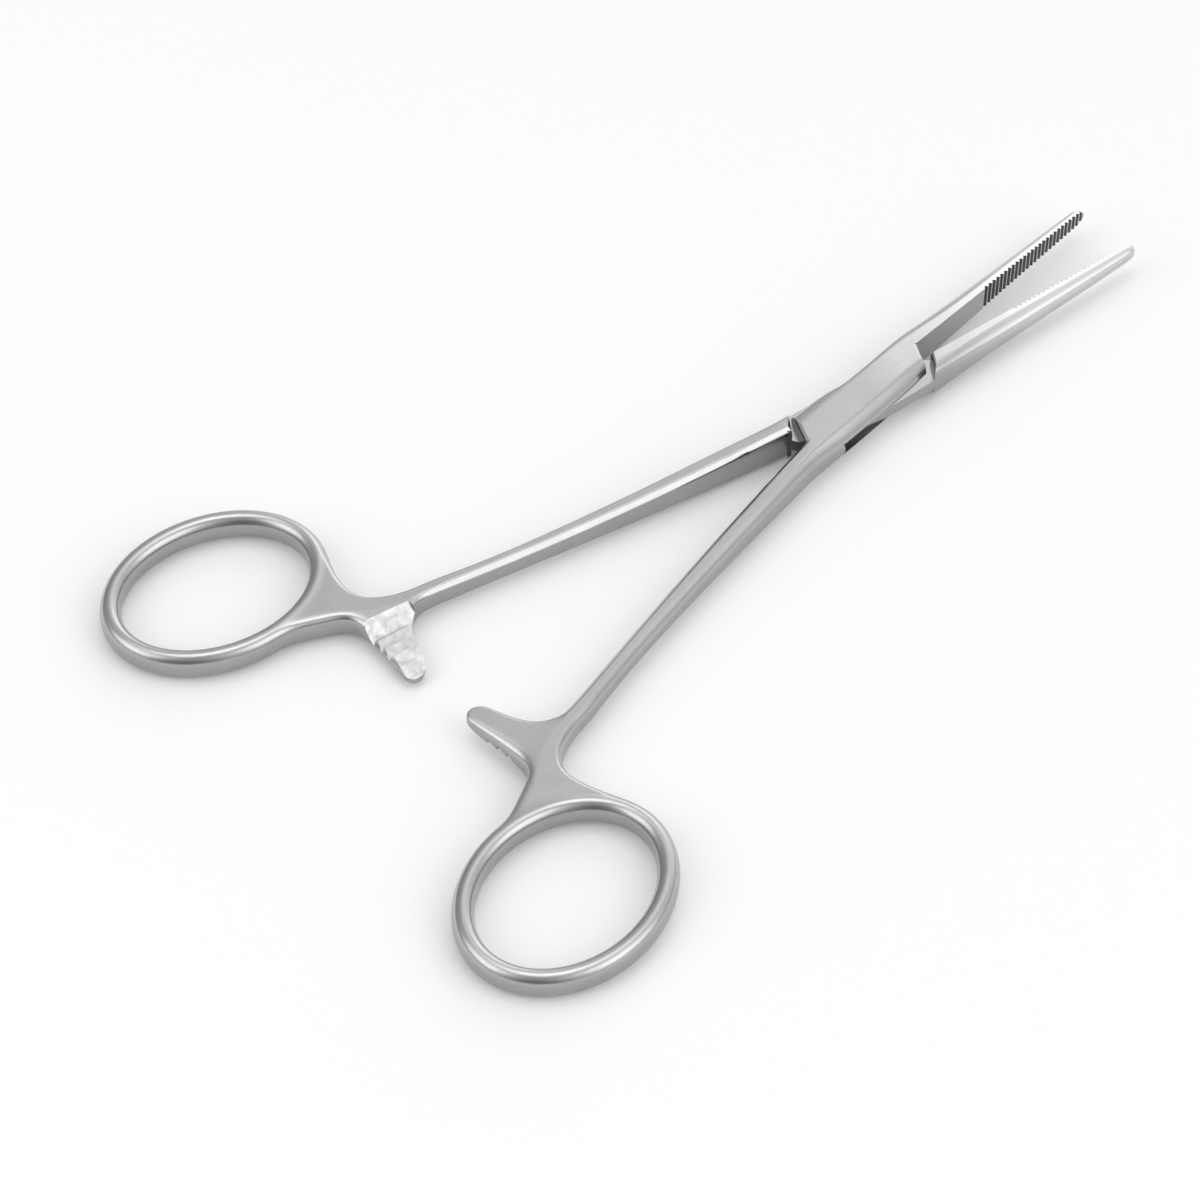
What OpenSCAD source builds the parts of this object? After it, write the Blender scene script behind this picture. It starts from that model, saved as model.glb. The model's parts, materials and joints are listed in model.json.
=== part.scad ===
// Straight locking forceps with a box lock, finger rings, a three-tooth ratchet and half-serrated jaws.
// Two forged halves turn on one flush pin. +X runs to the jaw tips, +Z up along the pin,
// and the origin is on the pin's axis at the lower face of the box lock.
// Each half is described shut, with its shank on -Y and its jaw on +Y, and is then turned open.

/* [Pose] */
// Angle between the two halves as the instrument lies, 0 with the jaws shut
rest_open = 10.4; // [4:0.1:30]

/* [Box lock] */
// Width over the box lock
box_w = 6.4; // [6:0.1:7]
// Height of the box lock, the tallest point of the instrument
box_h = 5; // [4.6:0.1:5.4]
// Length of the box's cover plates ahead of the pin
box_front = 10.7; // [10:0.1:11.5]
// Length of the box's cover plates behind the pin
box_rear = 12.1; // [11.5:0.1:13]
// How far the ends of the cover plates lean, in X for each step in Y
end_slant = 0.62; // [0.5:0.01:0.7]
// How far the end walls of the slot lean, in X for each step in Y
wall_slant = 1.2; // [1:0.05:1.3]
// How far the rolled rear corner of a cover plate stands out over the tongue
wing_w = 1.2; // [0.6:0.1:1.4]
// Height of the slot that the tongue turns in
slot_h = 1.7; // [1.5:0.1:2.2]
// Play between the tongue and each cover plate
slot_play = 0.05; // [0.03:0.01:0.1]
// Gap at the shoulders and slot walls with the jaws shut
shoulder_gap = 0.25; // [0.2:0.05:0.4]
// Diameter of the pin
pin_d = 2.4; // [2:0.1:3]
// Running play on the radius between pin and tongue
pin_play = 0.03; // [0.02:0.01:0.08]

/* [Jaws] */
// Distance from the pin to the jaw tips
tip_x = 45.5; // [42:0.5:50]
// Width of one jaw at its tip
tip_w = 1.3; // [1.1:0.05:1.6]
// Height of a jaw at its tip
tip_h = 2.1; // [1.8:0.1:2.6]
// Gap between the jaw faces at the box with the tips shut
root_gap = 0.5; // [0.2:0.1:0.8]
// Distance from the pin to the first serration
serration_start = 24.5; // [22:0.5:28]
// Number of cross serrations on each jaw
serrations = 26; // [16:1:30]
// Depth of the serrations
serration_depth = 0.32; // [0.15:0.01:0.35]

/* [Shanks] */
// Width of a shank where it meets the box
shank_w = 2.9; // [2.7:0.1:3.2]
// Width of a shank at its waist
waist_w = 2.15; // [2:0.05:2.5]
// Height of a shank at its waist
waist_h = 3.2; // [2.9:0.1:3.5]
// Distance from the pin to the waist
waist_x = 50; // [46:1:52]
// Distance of the shank's inner edge from the middle plane at the neck
neck_y = 6.15; // [6:0.05:6.4]

/* [Finger rings] */
// Distance from the pin back to the ring's centre
ring_x = 80.3; // [79.5:0.1:81]
// Distance from the middle plane out to the ring's centre
ring_y = 23; // [22.5:0.1:23.5]
// Long opening of a ring
hole_l = 23.2; // [22.5:0.1:24]
// Short opening of a ring
hole_w = 17.7; // [17:0.1:18.5]
// Width of the ring's band
band_w = 2.6; // [2.4:0.1:3]
// Height of the ring's band
band_h = 3.7; // [3.4:0.1:4.2]
// Turn of the ring's long opening
ring_turn = 4; // [2:0.5:6]

/* [Ratchet] */
// Distance from the pin to the back edge of the ratchet arm
arm_x = 70.3; // [69.8:0.1:70.8]
// Width of the arm at its round end
arm_w = 3.1; // [2.8:0.1:3.3]
// How far each arm reaches past the middle plane with the jaws shut
arm_reach = 1.8; // [1.4:0.1:2]
// Height from the middle plane to the arm's outer face
arm_h = 1.5; // [1.3:0.1:1.55]
// Number of teeth
teeth = 3; // [2:1:3]
// Distance between teeth
tooth_pitch = 1.5; // [1.3:0.1:1.6]
// Height of a tooth
tooth_h = 0.8; // [0.5:0.05:0.9]
// Distance of the first tooth's crest from the middle plane
first_tooth = 2; // [1.8:0.1:2.4]

/* [Hidden] */
$fn = 48;
steel = "silver";
mid_z = box_h / 2;

// Rounding of a section's corners: its width, that on the side of the box, how steep it is,
// and its largest part of the half height
round_w = 0.75;
box_side_r = 1.1;
round_steep = 2.2;
round_part = 0.78;
corner_steps = 4;
// Rounding of the neck, and of the shank's inner and outer edge
neck_r = 0.6;
inner_r = 0.6;
outer_r = 0.8;
// Length over which the neck's rounding runs into the shank's, and where and how far that runs into the box's
neck_round_l = 8;
left_round_x = -34;
right_round_x = -24;
box_round_l = 14;
// Rounding of the jaw's inner edges and of its back
jaw_edge_r = 0.15;
jaw_back_r = 2;
// Half the gap that is left between shut jaws along the serrations
face_play = 0.03;
// Shape of the tapers along the shanks and jaws, as powers
shank_rise = 1.6;
jaw_taper = 1.3;
jaw_fall = 0.9;
// Where the jaws begin to taper, and where the shank's outer edge blends into the side of the box
taper_x = 4;
blend_x = -18;
blend_l = 16;
// Where the shank runs into the neck, how much it swells there, and how far its inner edge bows inwards
neck_x = 60;
neck_swell = 0.12;
shank_bow = 0.5;
// Distance of the shank's inner edge from the middle plane at the box
crotch_y = 0.25;
// How far the body widens ahead of and behind the cover plates, before the plates are cut to length
flare = 2.4;
flare_gap = 0.4;
// Where the rolled corner begins behind the pin, its first step and that step's run, and its whole length
wing_x = 1.6;
wing_step = 0.35;
wing_run = 1.2;
wing_l = 7.7;
// Shallow waist in the solid side of the box: its depth, where it begins and is deepest, and where it ends
waist_dip = 0.6;
dip_x = [-6, 1, 3, 12];
// Length of the jaw's round nose, and the flat left at its tip
nose_l = 1.6;
nose_flat = 0.06;

function mix(a, b, t) = a + (b - a) * t;
function unit(t) = min(1, max(0, t));
function ease(t) = let (u = unit(t)) u * u * (3 - 2 * u);

// Shank edges by X
function shank_inner(x) = let (t = max(0, (-box_rear - x) / (neck_x - box_rear)))
    mix(-crotch_y, -neck_y, t) + 4 * shank_bow * t * (1 - t);
function shank_width(x) = x > -waist_x
    ? mix(waist_w, shank_w, (x + waist_x) / (waist_x - box_rear))
    : waist_w + neck_swell * pow((x + waist_x) / (neck_x - waist_x), 2);
function shank_outer(x) = shank_inner(x) - shank_width(min(x, -box_rear));

// Inner face of the jaw with its slight gap at the root, its outer side, and the roundness of its nose
function jaw_face(x) = face_play + root_gap / 2 * unit(1 - (x - box_front) / (tip_x - box_front));
function jaw_outer(x) = mix(box_w / 2, tip_w, pow(unit((x - taper_x) / (tip_x - taper_x)), jaw_taper));
function nose(x) = sqrt(max(nose_flat, 1 - pow(unit((x - tip_x + nose_l) / nose_l), 2)));

// Side of the shut instrument: the outer edge of a shank runs into the side of the box and then the jaw
function side(x) = x < 0 ? mix(-shank_outer(x), box_w / 2, ease((x - blend_x) / blend_l)) : jaw_outer(x);

// Left and right edge of the body by X, and its half height
function dip(x) = waist_dip * ease((x - dip_x[0]) / (dip_x[1] - dip_x[0]))
    * ease((dip_x[3] - x) / (dip_x[3] - dip_x[2]));
function left_edge(x) = x < -box_rear - 2 * flare ? shank_inner(x)
    : x < -box_rear - flare ? mix(shank_inner(x), side(x), ease((x + box_rear + 2 * flare) / flare))
    : x < box_front ? side(x) - dip(x)
    : jaw_face(x) + (side(x) - dip(x) - jaw_face(x)) * nose(x);
function right_edge(x) = x < box_front ? -side(x)
    : mix(-side(x), jaw_face(x), ease((x - box_front - flare_gap) / flare));
function half_height(x) = 0.5 * nose(x) * (x < -box_rear
    ? mix(waist_h, box_h, pow(unit((x + waist_x) / (waist_x - box_rear)), shank_rise))
    : mix(box_h, tip_h, pow(unit((x - taper_x) / (tip_x - taper_x)), jaw_fall)));

// Rolled corner that widens a cover plate towards its rear end
function plate_wing(x) = let (out = -x - wing_x)
    mix(wing_step * ease(out / wing_run), wing_w, unit(out / wing_l))
    * (1 - ease((-x - box_rear - flare) / flare));

// Roundings of the left and right edge by X
function shank_round(x, r) = mix(neck_r, r, ease((x + neck_x) / neck_round_l));
function left_round(x) = x > box_front + flare ? jaw_back_r
    : mix(shank_round(x, inner_r), round_w, ease((x - left_round_x) / box_round_l));
function right_round(x) = x > box_front + flare ? jaw_edge_r
    : mix(shank_round(x, outer_r), box_side_r, ease((x - right_round_x) / box_round_l));

// A station is [left point, right point, half height, left rounding, right rounding]
function body_station(x, wing, groove = 0) =
    let (out = wing ? plate_wing(x) : 0, left = left_edge(x) + out, right = right_edge(x) + groove)
    [[x, left], [x, right], half_height(x),
     min(left_round(x) + out, 0.42 * (left - right)), right_round(x)];

// Corner points of one rounded section, from the left side over the top and back below
function corner(s, z, rs, rz, from) =
    [for (i = [0 : corner_steps]) let (a = from + 90 * i / corner_steps)
        [s + rs * cos(a), z + rz * sin(a)]];
function outline(w, h, left_r, right_r) =
    let (left_z = min(round_part * h, round_steep * left_r),
         right_z = min(round_part * h, round_steep * right_r))
    concat(corner(w - left_r, h - left_z, left_r, left_z, 0),
           corner(right_r, h - right_z, right_r, right_z, 90),
           corner(right_r, right_z - h, right_r, right_z, 180),
           corner(w - left_r, left_z - h, left_r, left_z, 270));
function section(s) =
    let (l = s[0], r = s[1], w = norm(l - r), d = (l - r) / w)
    [for (p = outline(w, s[2], s[3], s[4])) [r[0] + d[0] * p[0], r[1] + d[1] * p[0], mid_z + p[1]]];

// Skin over a row of sections; a closed row is a ring, an open one gets flat ends
module loft(sections, closed = false) {
    n = len(sections);
    m = len(sections[0]);
    rows = closed ? n : n - 1;
    sides = [for (i = [0 : rows - 1], j = [0 : m - 1], k = [0, 1])
        let (next = (i + 1) % n * m, a = i * m + j, b = i * m + (j + 1) % m,
             c = next + (j + 1) % m, d = next + j)
        k == 0 ? [a, c, b] : [a, d, c]];
    ends = closed ? [] : [[for (j = [0 : m - 1]) j], [for (j = [m - 1 : -1 : 0]) (n - 1) * m + j]];
    polyhedron(points = [for (s = sections, p = s) p], faces = concat(sides, ends), convexity = 8);
}

// Neck from the ring to the shank, as rows of left X and Y, right X and Y, half height
neck_rows = [
    [-77.2, -11.4, -67, -19, 1.66],
    [-74, -10.4, -68, -15.4, 1.66],
    [-72, -9.6, -68.25, -12.8, 1.64],
    [-70.3, -8.6, -67.55, -11, 1.62],
    [-67.6, -7.5, -66, -9.75, 1.61],
    [-63.8, -6.65, -63.3, -8.85, 1.6],
    [-neck_x, shank_inner(-neck_x), -neck_x, shank_outer(-neck_x), half_height(-neck_x)]];
neck_steps = 3;
// Smooth curve through the rows, at row number t
function row_at(rows, t) =
    let (i = floor(t), u = t - i, a = rows[max(i - 1, 0)], b = rows[i], c = rows[i + 1],
         d = rows[min(i + 2, len(rows) - 1)])
    b + u / 2 * (c - a + u * (2 * a - 5 * b + 4 * c - d + u * (3 * (b - c) + d - a)));
neck_stations = [for (k = [0 : neck_steps * (len(neck_rows) - 1) - 1])
    let (r = row_at(neck_rows, k / neck_steps)) [[r[0], r[1]], [r[2], r[3]], r[4], neck_r, neck_r]];

// Stations along X: shank, rear flare, cover plates, front flare, plain jaw, serrations and nose
shank_step = 4;
plain_jaw_step = 2.5;
flare_steps = 4;
plate_steps = 14;
shank_x = [for (x = [-neck_x : shank_step : -box_rear - 2 * flare - 1]) x];
flare_x = [for (i = [0 : flare_steps]) -box_rear - flare * (2 - i / flare_steps)];
plate_x = [for (i = [0 : plate_steps]) mix(-box_rear, box_front, i / plate_steps)];
root_x = [for (i = [0 : flare_steps]) box_front + flare_gap + flare * i / flare_steps];
plain_x = [for (x = [box_front + flare + 1.4 : plain_jaw_step : serration_start - 0.5]) x];
nose_x = [for (t = [0.45, 0.75, 0.92, 1]) tip_x - nose_l * (1 - t)];
serration_pitch = (tip_x - nose_l - serration_start) / serrations;

module body(wing) {
    plain_stations = [for (x = concat(shank_x, flare_x, plate_x, root_x, plain_x)) body_station(x, wing)];
    serrated_stations = [for (i = [0 : 2 * serrations])
        body_station(serration_start + serration_pitch * i / 2, wing, i % 2 * serration_depth)];
    nose_stations = [for (x = nose_x) body_station(x, wing)];
    loft([for (s = concat(neck_stations, plain_stations, serrated_stations, nose_stations)) section(s)]);
}

// Oval finger ring, its band swept square to the oval
ring_steps = 44;
band_outer_r = 0.42 * band_w;
band_inner_r = 0.24 * band_w;
module finger_ring() {
    a = (hole_l + band_w) / 2;
    b = (hole_w + band_w) / 2;
    rows = [for (i = [0 : ring_steps - 1])
        let (t = -360 * i / ring_steps, p = [a * cos(t), b * sin(t)], q = [b * cos(t), a * sin(t)],
             n = q / norm(q) * band_w / 2)
        section([p + n, p - n, band_h / 2, band_outer_r, band_inner_r])];
    translate([-ring_x, -ring_y, 0]) rotate(ring_turn) loft(rows, closed = true);
}

// Plan of the ratchet arm: straight back edge, round end, hollow curve into the shank
arm_root_y = 8.2;
arm_fillet_r = 3;
arm_fillet_at = [-62.9, -3.6];
function arc(centre, r, from, to, steps) =
    [for (i = [0 : steps]) let (a = mix(from, to, i / steps)) centre + r * [cos(a), sin(a)]];
module arm_plan() {
    end_r = arm_w / 2;
    polygon(concat([[1 - arm_x, -arm_root_y - 1], [-arm_x, -arm_root_y]],
                   arc([end_r - arm_x, arm_reach - end_r], end_r, 180, 0, 12),
                   arc(arm_fillet_at, arm_fillet_r, 190, 270, 8),
                   [[arm_fillet_at[0], -arm_root_y]]));
}

// Side of the arm in Y and Z: saw teeth whose steep faces look back to the shank,
// a thin lead-in at the end and a ramp that takes the other arm's end
tooth_base = -0.5;
tooth_crest = tooth_base + tooth_h;
tooth_rake = 0.12;
lead_in_z = 0.85;
arm_bevel = [0.6, 0.25];
arm_inside_y = 12;
ramp_foot = 0.17;
ramp_run = 2.4;
ramp_y = first_tooth + (teeth - 1) * tooth_pitch + tooth_rake;
module arm_side() {
    end_y = arm_reach + 0.1;
    teeth_outline = [for (i = [0 : teeth - 1], k = [0, 1])
        let (y = -first_tooth - i * tooth_pitch)
        k == 0 ? [y, -tooth_crest] : [y - tooth_rake, -tooth_base]];
    ramp = [[-ramp_y - 0.4, -ramp_foot], [-ramp_y - ramp_run, -arm_h]];
    back = [[-arm_inside_y, -arm_h], [-arm_inside_y, arm_h], [end_y - arm_bevel[0], arm_h]];
    polygon(concat([[end_y, lead_in_z]], teeth_outline, ramp, back, [[end_y, arm_h - arm_bevel[1]]]));
}

// Softened back edge of the arm, in X and Z
module arm_back() {
    polygon([[-arm_x, -2 * arm_h], [-arm_x, arm_h - 0.7], [0.2 - arm_x, arm_h - 0.2],
             [0.7 - arm_x, 1.01 * arm_h], [-neck_x, 1.01 * arm_h], [-neck_x, -2 * arm_h]]);
}

module ratchet_arm(upper) {
    translate([0, 0, mid_z]) mirror([0, 0, upper ? 0 : 1]) intersection() {
        linear_extrude(3 * arm_h, center = true) arm_plan();
        rotate([90, 0, 90]) translate([0, 0, -arm_x - 1]) linear_extrude(10) arm_side();
        rotate([90, 0, 0]) linear_extrude(4 * arm_inside_y, center = true) arm_back();
    }
}

module half_forging(upper_arm, wing) {
    body(wing);
    finger_ring();
    ratchet_arm(upper_arm);
}

// Leaning lines of the box: ends of the plates, and end walls of the slot
rear_mid = 0.4;
front_mid = 0.2;
function rear_end(y) = -box_rear + end_slant * (y + rear_mid);
function front_end(y) = box_front + end_slant * (y - front_mid);
function rear_wall(y) = -box_rear - wall_slant * (y + rear_mid);
function front_wall(y) = box_front - wall_slant * (y - front_mid);
// How far the cuts reach past the box, and the small relief that frees each root beside the plates
wide = box_w / 2 + 2;
behind = box_rear + 7;
ahead = box_front + 3.6;
relief = 0.12;
// Depth of the shallow hollow in the front end of a cover plate
front_dish = 0.2;
dish_steps = 8;
crotch_cut = -crotch_y - relief;
root_y = jaw_face(box_front);
root_cut = root_y + relief;

module through(z0, z1) {
    translate([0, 0, z0]) linear_extrude(z1 - z0) children();
}

// What is cut off the box half outside its cover plates
module plate_ends() {
    polygon([[-behind, shank_inner(-behind) - relief], [-box_rear, crotch_cut],
             [rear_end(wide), wide], [-behind, wide]]);
    hollow = [for (i = [1 : dish_steps]) let (t = i / dish_steps, y = mix(front_mid, -wide, t))
        [front_end(y) - 4 * front_dish * t * (1 - t), y]];
    polygon(concat([[ahead, root_cut], [box_front, root_cut]], hollow, [[ahead, -wide]]));
}

// Opening between the cover plates that the tongue crosses
module slot() {
    polygon([[-behind, -crotch_y], [-box_rear, -crotch_y], [rear_wall(-wide), -wide], [ahead, -wide],
             [ahead, root_y], [box_front, root_y], [front_wall(wide), wide], [-behind, wide]]);
}

// What is cut off the tongue half beside its tongue, so that it clears the slot's end walls
module tongue_ends() {
    polygon([[-behind, shank_inner(-behind) - relief], [-box_rear - rear_mid, crotch_cut],
             [rear_wall(-rear_mid) + shoulder_gap, rear_mid], [rear_wall(-wide) + shoulder_gap, wide],
             [-behind, wide]]);
    polygon([[ahead, root_cut], [box_front + front_mid, root_cut],
             [front_wall(front_mid) - shoulder_gap, -front_mid], [front_wall(wide) - shoulder_gap, -wide],
             [ahead, -wide]]);
}

// Recess in the tongue half that takes one cover plate
module plate_recess() {
    polygon([[rear_end(wide) - shoulder_gap, -wide], [rear_end(-wide) - shoulder_gap, wide],
             [front_end(-wide) + shoulder_gap, wide], [front_end(wide) + shoulder_gap, -wide]]);
}

module box_half() {
    color(steel) rotate(rest_open / 2) difference() {
        half_forging(upper_arm = true, wing = true);
        through(-1, box_h + 1) plate_ends();
        through(mid_z - slot_h / 2, mid_z + slot_h / 2) slot();
        translate([0, 0, -1]) cylinder(d = pin_d, h = box_h + 2);
    }
}

module tongue_half() {
    tongue_h = slot_h / 2 - slot_play;
    color(steel) rotate(-rest_open / 2) mirror([0, 1, 0]) difference() {
        half_forging(upper_arm = false, wing = false);
        through(-1, box_h + 1) tongue_ends();
        through(mid_z + tongue_h, box_h + 1) plate_recess();
        through(-1, mid_z - tongue_h) plate_recess();
        translate([0, 0, -1]) cylinder(d = pin_d + 2 * pin_play, h = box_h + 2);
    }
}

// Pin pressed through both cover plates and ground flush
module pivot_pin() {
    color(steel) cylinder(d = pin_d, h = box_h);
}

box_half();
tongue_half();
pivot_pin();
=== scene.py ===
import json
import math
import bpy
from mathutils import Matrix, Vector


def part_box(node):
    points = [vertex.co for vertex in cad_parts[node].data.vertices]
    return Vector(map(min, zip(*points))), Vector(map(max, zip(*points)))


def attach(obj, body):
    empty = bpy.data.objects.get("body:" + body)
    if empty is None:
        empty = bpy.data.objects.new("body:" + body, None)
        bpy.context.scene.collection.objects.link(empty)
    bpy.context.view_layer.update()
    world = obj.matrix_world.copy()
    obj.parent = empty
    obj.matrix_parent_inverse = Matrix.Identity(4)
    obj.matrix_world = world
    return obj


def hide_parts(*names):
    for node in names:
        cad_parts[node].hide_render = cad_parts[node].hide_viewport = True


bl_info = {
    "name": "Locking Forceps",
    "version": (1, 0, 0),
    "blender": (4, 5, 0),
    "location": "View3D > Sidebar > Forceps",
    "description": "Models straight locking forceps in satin steel around their packed frame",
    "category": "Add Mesh",
}

import bmesh
import bpy
from bpy.props import FloatProperty, FloatVectorProperty, IntProperty, PointerProperty
from mathutils import Vector

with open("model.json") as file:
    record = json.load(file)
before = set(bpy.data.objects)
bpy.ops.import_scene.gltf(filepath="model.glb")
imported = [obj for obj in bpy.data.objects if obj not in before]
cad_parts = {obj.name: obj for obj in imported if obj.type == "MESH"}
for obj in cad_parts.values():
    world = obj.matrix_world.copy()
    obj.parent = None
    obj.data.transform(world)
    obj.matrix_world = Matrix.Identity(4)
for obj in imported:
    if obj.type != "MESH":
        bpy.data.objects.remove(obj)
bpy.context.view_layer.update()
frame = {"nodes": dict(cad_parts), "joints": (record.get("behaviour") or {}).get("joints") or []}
PIN_LOW, PIN_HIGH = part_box("pivot_pin")

MM = 0.001
MID_Z = (PIN_LOW.z + PIN_HIGH.z) / 2 / MM
BOX_H = (PIN_HIGH.z - PIN_LOW.z) / MM
PIN_R = (PIN_HIGH.x - PIN_LOW.x) / 2 / MM
REST_OPEN = -frame["joints"][0]["range_deg"][0]
TIP_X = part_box("box_half")[1].x / MM / math.cos(math.radians(REST_OPEN / 2))


class ForcepsSizes(bpy.types.PropertyGroup):
    """Sizes of the two forged halves"""

    hole_length: FloatProperty(
        name="Ring Length", description="Long opening of a finger ring", default=0.0232, unit="LENGTH"
    )
    hole_width: FloatProperty(
        name="Ring Width", description="Short opening of a finger ring", default=0.0177, unit="LENGTH"
    )
    band_width: FloatProperty(
        name="Band Width", description="Width of a ring's band, seen from above",
        default=0.0026, unit="LENGTH"
    )
    band_height: FloatProperty(
        name="Band Height", description="Height of a ring's band", default=0.0037, unit="LENGTH"
    )
    box_width: FloatProperty(
        name="Box Width", description="Width over the box lock", default=0.0064, unit="LENGTH"
    )
    waist_width: FloatProperty(
        name="Waist Width", description="Width of a shank at its waist", default=0.00215, unit="LENGTH"
    )
    waist_height: FloatProperty(
        name="Waist Height", description="Height of a shank at its waist", default=0.0032, unit="LENGTH"
    )
    tip_width: FloatProperty(
        name="Tip Width", description="Width of one jaw at its tip", default=0.0013, unit="LENGTH"
    )
    serrations: IntProperty(
        name="Serrations", description="Cross serrations on each jaw", default=26, min=8, max=40
    )
    serration_depth: FloatProperty(
        name="Serration Depth", description="Depth of a serration", default=0.00034, unit="LENGTH"
    )
    teeth: IntProperty(name="Teeth", description="Ratchet teeth on each arm", default=3, min=1, max=4)


class ForcepsFinish(bpy.types.PropertyGroup):
    """Colours and finish of the steel"""

    satin_colour: FloatVectorProperty(
        name="Satin Steel", description="Colour of the forged halves", subtype="COLOR",
        size=3, min=0, max=1, default=(0.5, 0.5, 0.505)
    )
    ground_colour: FloatVectorProperty(
        name="Ground Steel", description="Colour of the ground ratchet", subtype="COLOR",
        size=3, min=0, max=1, default=(0.6, 0.6, 0.6)
    )
    # Milled slot, recesses, notches and serration grooves: rougher milled steel, whose dark colour is
    # painted shade
    milled_shade_colour: FloatVectorProperty(
        name="Milled Steel With Painted Shade", description="Colour of the milled slot and serrations", subtype="COLOR",
        size=3, min=0, max=1, default=(0.15, 0.15, 0.15)
    )


class ForcepsStage(bpy.types.PropertyGroup):
    """Floor and studio light"""

    floor_colour: FloatVectorProperty(
        name="Floor", description="Colour of the plain floor", subtype="COLOR",
        size=3, min=0, max=1, default=(0.88, 0.88, 0.88)
    )
    tent_light: FloatProperty(
        name="Tent Light", description="Brightness of the pale tent round the object", default=0.34, min=0
    )
    left_light: FloatProperty(
        name="Left Light", description="Brightness of the tent's left wall", default=1.2, min=0
    )
    right_light: FloatProperty(
        name="Right Light", description="Brightness of the tent's right wall", default=1.35, min=0
    )
    back_light: FloatProperty(
        name="Back Light", description="Brightness low on the tent's back wall", default=1.0, min=0
    )
    top_light: FloatProperty(
        name="Top Light", description="Brightness of the tent's top", default=1.9, min=0
    )
    lamp_power: FloatProperty(
        name="Lamp Power", description="Power of each softbox", default=0.24, min=0, unit="POWER"
    )


def mix(a, b, t):
    return a + (b - a) * t


def unit(t):
    return min(1.0, max(0.0, t))


def ease(t):
    u = unit(t)
    return u * u * (3 - 2 * u)


def hump(x, start, rise, end, fall):
    """Rises from 0 to 1 after the start, and falls back to 0 before the end"""
    return ease((x - start) / rise) * ease((end - x) / fall)


def by_x(stops, x):
    """Value at X between the stops, which are pairs of X and value"""
    if x <= stops[0][0]:
        return stops[0][1]
    for (x0, v0), (x1, v1) in zip(stops, stops[1:]):
        if x <= x1:
            return mix(v0, v1, ease((x - x0) / (x1 - x0)))
    return stops[-1][1]


# Outline of one half, shut, in millimetres: its shank lies on -Y and its jaw on +Y
BOX_FRONT = 10.7
BOX_REAR = 12.1
WAIST_X = 50.0
NECK_X = 60.0
NECK_Y = 6.15
NECK_SWELL = 0.12
SHANK_BOW = 0.5
CROTCH_Y = 0.25
SHANK_W = 2.9
TAPER_X = 4.0
TIP_H = 2.1
FLARE = 2.4
FLARE_GAP = 0.4
NOSE_L = 1.6
ROOT_GAP = 0.5
FACE_PLAY = 0.03
FACE_SPARE = 0.45
SERRATION_START = 24.5
# Where the shank's outer side starts to widen to the box, and over what length
SIDE_FROM = -18
SIDE_RUN = 16
# Powers that bend the narrowing of the jaw and the heights of the shank and the jaw
JAW_NARROWING = 1.3
SHANK_RISE = 1.6
JAW_FALL = 0.9
# Share of the section that is left at the very end of the nose, squared
NOSE_END = 0.06
# Wing of the cover plates, which widens them towards the rear
WING_W = 1.2
WING_X = 1.6
WING_STEP = 0.35
WING_RUN = 1.2
WING_L = 7.7
# Dip and bulge in the sides of the box: depth, then start, rise, end and fall
WAIST_DIP = 0.6
WAIST_DIP_SPAN = (-6, 7, 12, 9)
BOX_BULGE = 0.3
BOX_BULGE_SPAN = (-14, 8, 11, 5)
# How far the middle of an edge lies in: on a round edge and on one that is cut off flat
CORNER = 1 - math.sqrt(0.5)
CHAMFER = 0.5
RIGHT_CUT = 0.42
# The inner edge turns from cut off to round ahead of this X
CUT_TO = -18
CUT_FADE = 4
# Drop of a rounding for each millimetre of its width, and its share of the half height at most
ROUND_DROP = 1.45
EDGE_DROP = 1.2
MOST_DROP = 0.75
# Rounding of the wing for each millimetre that it stands out
WING_ROUND = 1.4
WING_DROP = 0.9
# Rounding of the jaw's back as a share of its width, and of the edges of its face
BACK_ROUND = 0.6
FACE_ROUND = 0.2
BACK_FROM = 2
BACK_RUN = 20


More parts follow.
